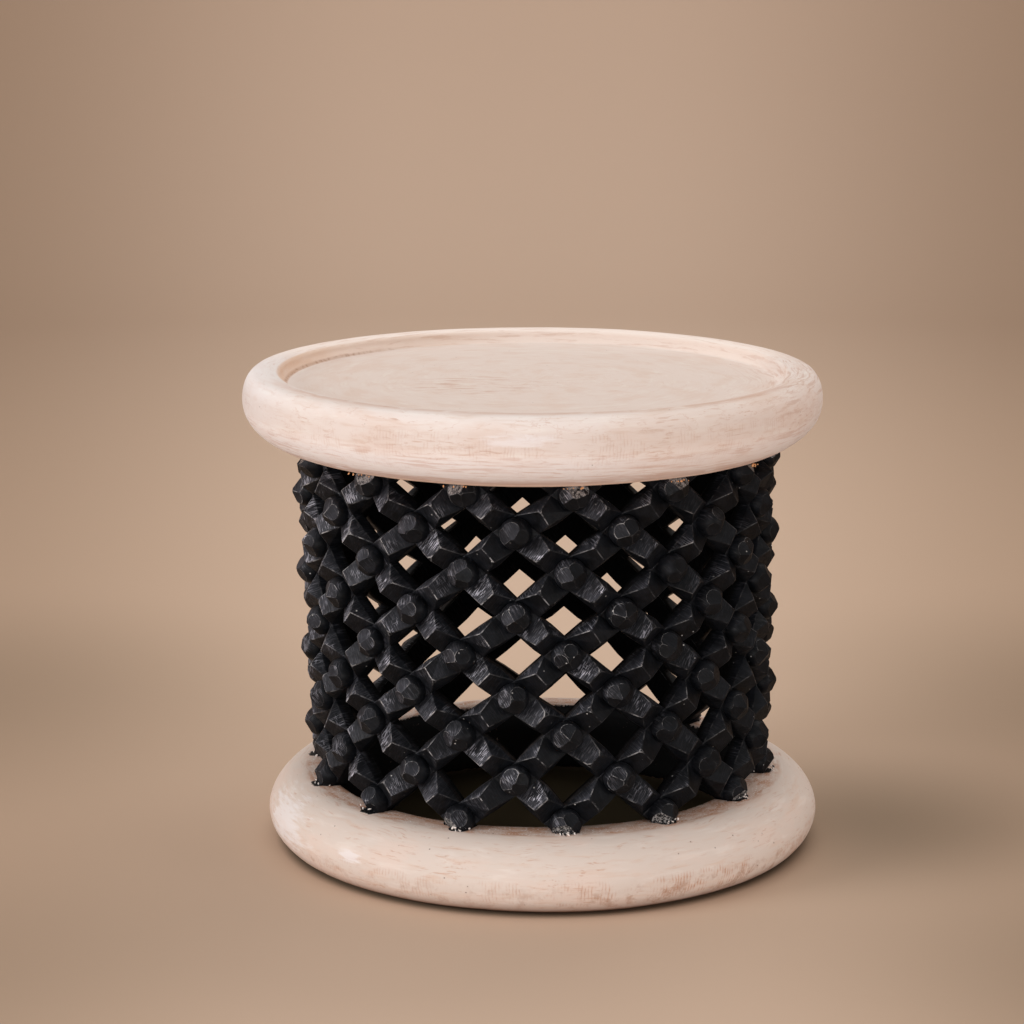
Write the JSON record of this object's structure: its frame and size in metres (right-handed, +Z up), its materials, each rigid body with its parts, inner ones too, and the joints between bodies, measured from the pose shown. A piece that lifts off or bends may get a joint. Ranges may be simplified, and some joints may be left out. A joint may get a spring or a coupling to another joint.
{
  "type": "bamileke stool",
  "caption": "Round dished seat on an open drum of crossing lattice bars with carved knobs, standing on a round ring.",
  "frame": {"origin": "middle of the footprint's box, on the surface that the stool stands on", "axes": "+Z up, the pictured front faces -Y, and +X is to the right in the picture"},
  "size_m": [0.5018, 0.5, 0.416],
  "materials": {
    "bleached_wood": "bleached open-grained wood, hand smoothed, satin",
    "charcoal_paint": "hewn wood painted charcoal black, dusty on the upper facets"
  },
  "bodies": {
    "root": {"seat": "bleached_wood", "base_ring": "bleached_wood", "rising_bar_01": "charcoal_paint", "rising_bar_02": "charcoal_paint", "rising_bar_03": "charcoal_paint", "rising_bar_04": "charcoal_paint", "rising_bar_05": "charcoal_paint", "rising_bar_06": "charcoal_paint", "rising_bar_07": "charcoal_paint", "rising_bar_08": "charcoal_paint", "rising_bar_09": "charcoal_paint", "rising_bar_10": "charcoal_paint", "rising_bar_11": "charcoal_paint", "rising_bar_12": "charcoal_paint", "rising_bar_13": "charcoal_paint", "rising_bar_14": "charcoal_paint", "falling_bar_01": "charcoal_paint", "falling_bar_02": "charcoal_paint", "falling_bar_03": "charcoal_paint", "falling_bar_04": "charcoal_paint", "falling_bar_05": "charcoal_paint", "falling_bar_06": "charcoal_paint", "falling_bar_07": "charcoal_paint", "falling_bar_08": "charcoal_paint", "falling_bar_09": "charcoal_paint", "falling_bar_10": "charcoal_paint", "falling_bar_11": "charcoal_paint", "falling_bar_12": "charcoal_paint", "falling_bar_13": "charcoal_paint", "falling_bar_14": "charcoal_paint"}
  },
  "joints": []
}
